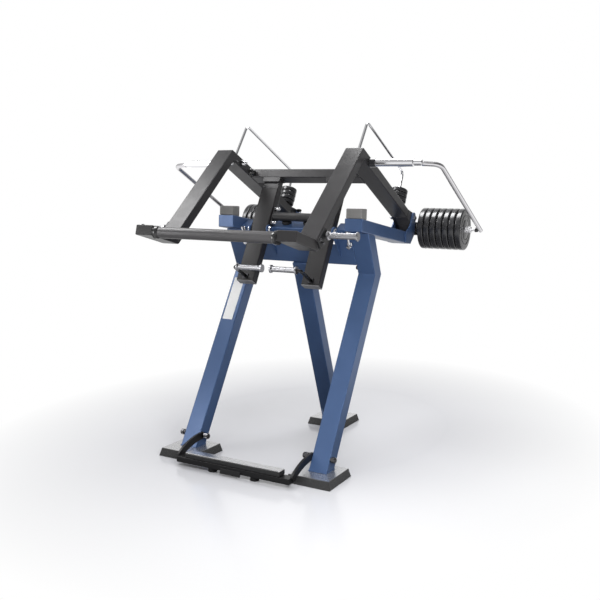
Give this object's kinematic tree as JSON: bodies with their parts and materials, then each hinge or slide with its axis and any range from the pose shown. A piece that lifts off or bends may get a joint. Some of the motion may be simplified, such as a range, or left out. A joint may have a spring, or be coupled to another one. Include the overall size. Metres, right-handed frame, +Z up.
{
  "type": "squat machine",
  "caption": "Plate-loaded standing squat machine: knee-bent frame on foot plates, hinged squat arm with shoulder bar, support lever and fold-up calf step.",
  "frame": {"origin": "on the floor, under the middle of the machine's bounding box", "axes": "+Z up, +Y to the back, where the large discs are, +X to the right as seen from the front"},
  "size_m": [2.0368, 2.03, 2.1729],
  "materials": {
    "blue_paint": "satin",
    "black_paint": "satin",
    "chrome": "polished",
    "charcoal_paint": "satin",
    "rubber": "matte",
    "disc_black": "satin enamel",
    "foot_black": "glossy",
    "dark_rubber": "matte",
    "brushed_steel": "brushed"
  },
  "bodies": {
    "frame": {"cross_beam": "blue_paint", "left_arm_pin": "chrome", "left_bump_block": "rubber", "left_clevis": "blue_paint", "left_foot": "foot_black", "left_leg": "blue_paint", "left_lever_bumper": "dark_rubber", "left_lever_ears": "blue_paint", "left_lever_pin": "chrome", "left_side_arm": "blue_paint", "left_step_pin": "chrome", "rear_foot": "foot_black", "rear_leg": "blue_paint", "right_arm_pin": "chrome", "right_bump_block": "rubber", "right_clevis": "blue_paint", "right_foot": "foot_black", "right_leg": "blue_paint", "right_lever_bumper": "dark_rubber", "right_lever_ears": "blue_paint", "right_lever_pin": "chrome", "right_side_arm": "blue_paint", "right_step_pin": "chrome"},
    "squat_arm": {"left_arm_hub": "black_paint", "left_boomerang": "charcoal_paint", "left_front_arm": "charcoal_paint", "left_grip_bracket": "black_paint", "left_guide_loop": "chrome", "left_guide_rod": "chrome", "left_loading_sleeve": "chrome", "left_side_grip": "chrome", "left_weight_horn": "chrome", "right_arm_hub": "black_paint", "right_boomerang": "charcoal_paint", "right_front_arm": "charcoal_paint", "right_grip_bracket": "black_paint", "right_guide_loop": "chrome", "right_guide_rod": "chrome", "right_loading_sleeve": "chrome", "right_side_grip": "chrome", "right_weight_horn": "chrome", "shoulder_bar": "charcoal_paint", "upper_cross_beam": "charcoal_paint"},
    "left_discs": {"left_discs": "disc_black"},
    "support_lever": {"left_lever_arm": "charcoal_paint", "left_lever_grip": "chrome", "left_saddle": "charcoal_paint", "link_tube": "charcoal_paint", "right_lever_arm": "charcoal_paint", "right_lever_grip": "chrome", "right_saddle": "charcoal_paint"},
    "left_small_discs": {"left_small_discs": "disc_black"},
    "calf_step": {"left_step_foot": "dark_rubber", "right_step_foot": "dark_rubber", "step_frame": "black_paint", "step_latch": "black_paint", "step_tread": "brushed_steel"},
    "right_discs": {"right_discs": "disc_black"},
    "right_small_discs": {"right_small_discs": "disc_black"}
  },
  "joints": [
    {"name": "squat_arm", "type": "hinge", "parent": "frame", "child": "squat_arm", "pos_m": [0, 0.77695, 1.57], "axis": [1, 0, 0], "range_deg": [-12, 0]},
    {"name": "support_lever", "type": "hinge", "parent": "frame", "child": "support_lever", "pos_m": [0, -0.08605, 1.472], "axis": [1, 0, 0], "range_deg": [0, 35]},
    {"name": "calf_step", "type": "hinge", "parent": "frame", "child": "calf_step", "pos_m": [0, -0.50005, 0.125], "axis": [-1, 0, 0], "range_deg": [0, 105]},
    {"name": "left_discs", "type": "slide", "parent": "squat_arm", "child": "left_discs", "axis": [-1, 0, 0], "range_m": [0, 0.03]},
    {"name": "right_discs", "type": "slide", "parent": "squat_arm", "child": "right_discs", "axis": [1, 0, 0], "range_m": [0, 0.03]},
    {"name": "left_small_discs", "type": "slide", "parent": "squat_arm", "child": "left_small_discs", "axis": [0, 0.3939, 0.9191], "range_m": [0, 0.08]},
    {"name": "right_small_discs", "type": "slide", "parent": "squat_arm", "child": "right_small_discs", "axis": [0, 0.3939, 0.9191], "range_m": [0, 0.08]}
  ]
}
